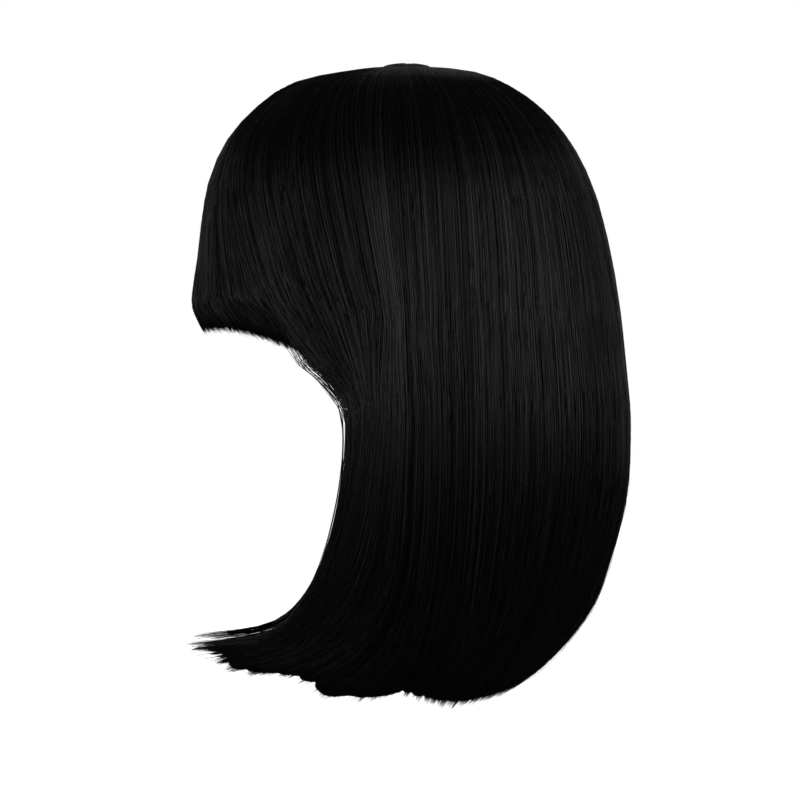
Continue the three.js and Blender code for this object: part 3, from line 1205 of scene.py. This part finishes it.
@dataclass(frozen=True)
class Flyaways:
    """A few fine strands that stand off one section."""

    section: HairSection
    count: int
    segments: int
    width: float = 0.22 * MM
    stand_off: float = 2.0 * MM
    sway: float = 2.0 * MM
    past_tip: float = 5.0 * MM
    starts: Pair = (1.5, 6.5)
    lift: float = 0.2 * MM
    # Share of the way past the tip that the fringe's go, and the shortest run of stations
    fringe_share: float = 0.4
    shortest: float = 0.7
    # Range of the length past the tip, and of the width beside the others
    past_spread: Pair = (-0.8, 1.0)
    width_spread: Pair = (0.6, 1.2)
    # Reach of the ripple on the bend, and its radians for each station
    ripple: Pair = (0.3, 1.3)
    end_width: float = 0.4
    seed: int = 7

    def build(self) -> bpy.types.Object:
        """Lay every strand and join them."""
        section = self.section
        random = np.random.default_rng(section.seed * 100 + self.seed)
        column = (self.count, 1)
        guide = mix(section.first, section.last, random.random(column))
        end = float(section.end)
        latest = min(self.starts[1], end - self.shortest)
        first = random.uniform(min(self.starts[0], latest), latest, column)
        reach = self.past_tip * (self.fringe_share if section.end is Station.LASH else 1.0)
        past = reach / section.pace() * random.uniform(*self.past_spread, column)
        down = np.linspace(0, 1, self.segments + 1)[None, :]
        station = mix(first, end + past, down)
        free = smooth(down) * random.random(column)
        height, turns = self.ripple
        bend = random.uniform(-1, 1, column) * down**2
        bend = bend + height * np.sin(station * turns + random.uniform(0, FULL_TURN, column))
        guide = guide + self.sway / section.spans(station) * bend
        points, outward = section.lay(guide, station, self.lift + self.stand_off * free)
        width = self.width * random.uniform(*self.width_spread, column) * np.ones_like(station)
        width = width * mix(self.end_width, 1.0, np.sin(np.pi * down))
        chart = strand_chart(random, station)
        return strand_mesh(f"{section.name}_flyaways", points, outward, width, chart)


def strand_chart(random: np.random.Generator, station: Array) -> Array:
    """Flow map of strands, with one random number across each and the station down it."""
    chance = np.broadcast_to(random.random((len(station), 1)), station.shape)
    return np.stack([chance, station / Station.TIP], -1)


def strand_mesh(
    name: str, points: Array, outward: Array, width: Array, chart: Array
) -> bpy.types.Object:
    """Make three-sided tapered strands along rows of points.

    Args:
        name: The object's name.
        points: Strands by rows by three.
        outward: Outward direction at each point.
        width: Width at each point.
        chart: Flow map's place of each point.

    Returns:
        One object with every strand.
    """
    count, rows, _ = points.shape
    ahead = np.gradient(points, axis=1)
    across = unit(np.cross(outward, ahead))
    outward = unit(np.cross(ahead, across))
    half = (width / 2)[..., None]
    corners = np.stack(
        [points - across * half, points + outward * half * RIDGE, points + across * half], axis=2
    )
    numbers = np.arange(count * rows * 3).reshape(count, rows, 3)
    quads = []
    for a in range(3):
        b = (a + 1) % 3
        quad = [numbers[:, :-1, a], numbers[:, :-1, b], numbers[:, 1:, b], numbers[:, 1:, a]]
        quads.append(np.stack(quad, axis=-1).reshape(-1, 4))
    ends = np.concatenate([numbers[:, 0, ::-1], numbers[:, -1, :]])
    maps = np.repeat(chart[:, :, None, :], 3, axis=2).reshape(-1, 2)
    return Workbench.from_arrays(name, corners.reshape(-1, 3), np.concatenate(quads), ends, maps)


@dataclass(frozen=True)
class Plan:
    """How finely one kind of section is made."""

    columns: int
    rows: int
    strands: int
    segments: int
    lining: int
    flyaways: int
    tips: int


@dataclass
class Hair:
    """All the hair: its sections, their masses and their strands."""

    finish: FibreFinish = FibreFinish()
    # Share of the strands that have each gloss, and its specular level
    glosses: dict[str, Pair] = field(
        default_factory=lambda: {"plain": (0.56, 0.22), "dull": (0.22, 0.05), "shiny": (0.22, 0.5)}
    )
    sections: list[HairSection] = field(default_factory=list)
    plans: dict[str, Plan] = field(
        default_factory=lambda: {
            "fringe": Plan(230, 34, 1150, 14, 50, 30, 620),
            "face_lock": Plan(84, 60, 430, 30, 40, 30, 260),
            "side_curtain": Plan(76, 56, 440, 26, 40, 24, 380),
            "back_curtain": Plan(180, 56, 760, 24, 80, 60, 500),
        }
    )

    def __post_init__(self) -> None:
        """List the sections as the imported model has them."""
        edge = float(BODY.first_guide)
        self.sections.append(
            HairSection(
                "fringe", -edge, edge, 30, Station.LASH, Side.MIDDLE, 0.3 * MM, 3,
                lock_depth=0.35 * MM,
            )
        )
        for side, tip_edge in ((Side.LEFT, 6 * MM), (Side.RIGHT, 10 * MM)):
            tag = side.name.lower()
            rows = (
                (f"face_lock_{tag}", edge, edge + 1, 6, 4, 1.1, 11),
                (f"side_curtain_{tag}", edge + 1, edge + 4, 8, 2.2, 0.8, 23),
                (f"back_curtain_{tag}", edge + 4, edge + 6, 16, 0.9, 0.35, 37),
            )
            for name, first, last, locks, notch, depth, seed in rows:
                self.sections.append(
                    HairSection(
                        name, first, last, locks, Station.TIP, side, notch * MM, seed,
                        lock_depth=depth * MM, free_edge=(2.4 * MM, tip_edge),
                    )
                )

    def build(self) -> None:
        """Model and dress every section."""
        mass_finish = self.finish.material(streaked=True)
        finishes = {
            gloss: replace(self.finish, name=f"{gloss}_fibre", specular=specular).material(False)
            for gloss, (_, specular) in self.glosses.items()
        }
        for section in self.sections:
            plan = next(self.plans[key] for key in self.plans if section.name.startswith(key))
            dress(section.mass(plan.columns, plan.rows), mass_finish, "hair", section.name)
            for gloss, layer in self.layers(section, plan):
                dress(layer.build(), finishes[gloss], "hair")

    def layers(self, section: HairSection, plan: Plan) -> list[tuple[str, StrandLayer | Flyaways]]:
        """Plan the strands of one section.

        Args:
            section: The section.
            plan: How finely it is made.

        Returns:
            Layers in order, each after the name of its gloss.
        """
        short, proud, past = (3.0, 1.6, 3.0) if section.end is Station.LASH else (9.0, 3.4, 7.0)
        end = float(section.end)
        layers = [
            (gloss, StrandLayer(
                section, f"{gloss}_strands", round(plan.strands * share), plan.segments,
                short=short * MM, proud=proud * MM, seed=10 + len(gloss),
            ))
            for gloss, (share, _) in self.glosses.items()
        ]
        layers.append(("plain", StrandLayer(
            section, "tip_strands", plan.tips, 4, width=0.26 * MM, short=1.5 * MM,
            proud=past * MM, starts=(end - 1.0, end - 0.5), late_share=1.0, clump=0.15,
            taper=0.5, sway=1.8 * MM, seed=4,
        )))
        layers.append(("plain", Flyaways(section, plan.flyaways, 12)))
        layers.append(("plain", StrandLayer(
            section, "lining_strands", plan.lining, 16, inside=True, width=0.9 * MM,
            lift=(-0.3 * MM, 0.1 * MM), starts=(2.0, 3.0), late_share=1.0, seed=2,
        )))
        if section.has_free_edge:
            layers.append(("shiny", StrandLayer(
                section, "edge_strands", 56, 34, width=0.3 * MM, sway=1.2 * MM,
                starts=(1.0, 3.2), reach=(-0.07, 0.26), late_share=0.8, clump=0.2,
                short=12 * MM, bow=5.0 * MM, seed=3,
            )))
        return layers


@dataclass
class Cap:
    """The thin net cap that carries the hair."""

    wall: float = 1.5 * MM
    columns: int = 96
    rows: int = 28
    finish: NetFinish = NetFinish()

    def build(self) -> None:
        """Model the open dome and give it its thickness."""
        made, across, down = Workbench.grid("cap_net_dome", self.columns, self.rows)
        bearing = 360.0 * across
        rim = HEAD.rim_height(bearing) - HEAD.centre[2]
        reach = np.where(rim > 0, HEAD.top_rise, HEAD.nape_reach)
        tilt = mix(np.pi / 2, np.arcsin(rim / reach), down)
        angle = np.radians(bearing)
        rise = np.where(tilt > 0, HEAD.top_rise, HEAD.nape_reach)
        points = np.stack(
            [
                HEAD.half_breadth * np.cos(tilt) * np.sin(angle),
                -HEAD.half_length * np.cos(tilt) * np.cos(angle),
                rise * np.sin(tilt),
            ],
            axis=-1,
        )
        Workbench.lay(made, points + HEAD.centre)
        with Workbench.edited():
            bpy.ops.mesh.remove_doubles(threshold=MERGE)
        solid = made.modifiers.new("thickness", "SOLIDIFY")
        solid.thickness = self.wall
        solid.offset = 1.0
        bpy.ops.object.modifier_apply(modifier=solid.name)
        bpy.ops.object.shade_smooth()
        dress(made, self.finish.material(), "cap_net", "wig_cap")


@dataclass
class CrownPatch:
    """The small raised skin top at the crown."""

    rise: float = 2.2 * MM
    edge_fall: float = 0.985
    clearance: float = 0.4 * MM
    roots: int = 340
    root_width: float = 0.4 * MM
    root_rows: int = 8
    # Shares of the way to the dome's edge where roots end, and the level for each share past it
    root_ends: Pair = (1.3, 2.0)
    root_level: float = 0.012
    root_lift: Pair = (0.1 * MM, 0.45 * MM)
    # Power that spreads the starts of the roots, and the share of the way that they reach
    root_starts: Pair = (0.6, 0.96)
    root_widths: Pair = (0.5, 1.2)
    root_seed: int = 71
    columns: int = 64
    rows: int = 14
    # Share of the rows that lie on top, and the height over the head that the rest go down to
    top_rows: float = 0.7
    seat: float = 2.9 * MM
    finish: CrownFinish = CrownFinish()

    def top(self, bearing: Array, share: Array) -> Array:
        """Points on the dome.

        Args:
            bearing: Degrees from the front.
            share: Shares of the way from the middle to the edge.

        Returns:
            Points in metres.
        """
        front = BODY.point(np.zeros(1), np.zeros(1))[0]
        back = BODY.point(np.full(1, 180.0), np.zeros(1))[0]
        centre = (front + back) / 2
        edge = BODY.point(bearing, np.zeros_like(bearing)) - centre
        edge -= unit(edge) * self.clearance
        points = centre + edge * share[..., None]
        points[..., 2] += self.rise * np.sqrt(1 - self.edge_fall * share**2)
        return points

    def build(self) -> None:
        """Model and dress the dome and the hair that is rooted in it."""
        self.add_dome()
        self.add_roots()

    def add_roots(self) -> None:
        """Add short fine strands that leave the dome and join the hair round it."""
        random = np.random.default_rng(self.root_seed)
        column = (self.roots, 1)
        bearing = random.uniform(0, 360, column) + np.zeros((1, self.root_rows))
        power, furthest = self.root_starts
        starts = random.random(column) ** power * furthest
        ends = random.uniform(*self.root_ends, column)
        share = mix(starts, ends, np.linspace(0, 1, self.root_rows)[None, :])
        body = BODY.point(bearing, np.maximum(share - 1.0, 0.0) * self.root_level)
        up = np.array([0.0, 0.0, 1.0])
        lifted = up * random.uniform(*self.root_lift, column)[..., None]
        dome = self.top(bearing, np.minimum(share, 1.0))
        points = np.where((share < 1.0)[..., None], dome, body) + lifted
        width = self.root_width * random.uniform(*self.root_widths, column) * np.ones_like(share)
        outward, chart = np.broadcast_to(up, points.shape), strand_chart(random, share)
        made = strand_mesh("crown_roots", points, outward, width, chart)
        # The fibre's speckled grey round the crown, partly the skin top and partly painted sheen, falls
        # on these roots as well
        dress(made, FibreFinish(name="root_fibre").material(False), "hair")

    def add_dome(self) -> None:
        """Model the low oval dome down to the cap."""
        made, across, down = Workbench.grid("crown_skin_top", self.columns, self.rows)
        points = self.top(360.0 * across, np.minimum(down / self.top_rows, 1.0))
        sunk = smooth(down, self.top_rows, 1.0 - self.top_rows)[:, None]
        Workbench.lay(made, mix(points, HEAD.surface(points, self.seat), sunk))
        with Workbench.edited():
            bpy.ops.mesh.remove_doubles(threshold=MERGE)
            bpy.ops.mesh.select_all(action="DESELECT")
            bpy.ops.mesh.select_non_manifold()
            bpy.ops.mesh.fill()
        bpy.ops.object.shade_smooth_by_angle(angle=math.radians(50))
        dress(made, self.finish.material(), "crown_skin", "crown_patch")


@dataclass(frozen=True)
class SoftBox:
    """One large soft light that stands round the hair."""

    name: str
    azimuth: float
    elevation: float
    power: float
    wide: float = 1.8
    tall: float = 1.4
    away: float = 2.6


@dataclass
class Studio:
    """Floor, lights and camera."""

    frame: float = 480.0 * MM
    distance: float = 3.0
    middle: Pair = (8.0 * MM, -189.0 * MM)
    floor_height: float = -0.44
    floor_size: float = 14.0
    floor_power: float = 4.4
    floor_spread: float = 60.0
    ambient: float = 0.06
    boxes: tuple[SoftBox, ...] = (
        SoftBox("left_box", 92.0, 15.0, 8.5),
        SoftBox("left_front_box", 38.0, 16.0, 11.0),
        SoftBox("left_back_box", 138.0, 15.0, 13.0),
        SoftBox("front_box", 350.0, 16.0, 5.0, tall=2.0),
        SoftBox("back_box", 190.0, 16.0, 7.0, tall=2.0),
        SoftBox("right_front_box", 310.0, 18.0, 6.5, tall=2.1),
        SoftBox("right_back_box", 230.0, 18.0, 6.5, tall=2.1),
        SoftBox("right_box", 270.0, 9.0, 3.5),
    )

    def build(self) -> None:
        """Set up the studio."""
        self.add_camera()
        self.add_floor()
        for box in self.boxes:
            self.add_box(box)
        self.add_floor_light()
        self.add_world()
        bpy.context.scene.view_settings.view_transform = "Standard"

    def add_camera(self) -> None:
        """Add the camera on the wearer's left, level with the hair's middle."""
        data = bpy.data.cameras.new("camera")
        data.sensor_width = 36.0
        data.lens = data.sensor_width * self.distance / self.frame
        camera = Workbench.place("camera", data, (self.distance, *self.middle))
        camera.rotation_euler = (math.radians(90), 0.0, math.radians(90))
        bpy.context.scene.camera = camera

    def add_floor(self) -> None:
        """Add the pale floor, which the glossy hair doesn't mirror."""
        Workbench.clear_selection()
        place = (0.0, 0.0, self.floor_height)
        bpy.ops.mesh.primitive_plane_add(size=self.floor_size, location=place)
        floor = bpy.context.active_object
        floor.name = "floor"
        floor.visible_glossy = False
        floor.data.materials.append(FloorFinish().material())

    def add_box(self, box: SoftBox) -> None:
        """Add a soft box that faces the hair."""
        data = bpy.data.lights.new(box.name, "AREA")
        data.shape = "RECTANGLE"
        data.size, data.size_y = box.wide, box.tall
        data.energy = box.power
        around, up = math.radians(box.azimuth), math.radians(box.elevation)
        level = math.cos(up)
        towards = Vector((math.sin(around) * level, -math.cos(around) * level, math.sin(up)))
        centre = Vector((0.0, *self.middle))
        light = Workbench.place(box.name, data, centre + towards * box.away)
        light.rotation_euler = (-towards).to_track_quat("-Z", "Y").to_euler()
        light.visible_camera = False

    def add_floor_light(self) -> None:
        """Add an even overhead light that whitens the floor and leaves no shine on the hair."""
        data = bpy.data.lights.new("floor_light", "SUN")
        data.energy = self.floor_power
        data.angle = math.radians(self.floor_spread)
        light = Workbench.place("floor_light", data, (0.0, 0.0, 3.0))
        light.visible_glossy = False

    def add_world(self) -> None:
        """Show a white backdrop, and light the hair from it only a little."""
        world = bpy.data.worlds.new("studio")
        bpy.context.scene.world = world
        sheet = Sheet(world)
        lit, seen = (
            sheet.node("ShaderNodeBackground", {}, {"Color": (1.0,) * 4, "Strength": strength})
            for strength in (self.ambient, 1.0)
        )
        path = sheet.node("ShaderNodeLightPath", {}, {}, "Is Camera Ray")
        sheet.close("ShaderNodeOutputWorld", sheet.node("ShaderNodeMixShader", {}, [path, lit, seen]))


def main() -> None:
    """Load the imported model, dress it and set up the studio."""
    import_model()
    Studio().build()
    Cap().build()
    CrownPatch().build()
    Hair().build()


if __name__ == "__main__":
    main()
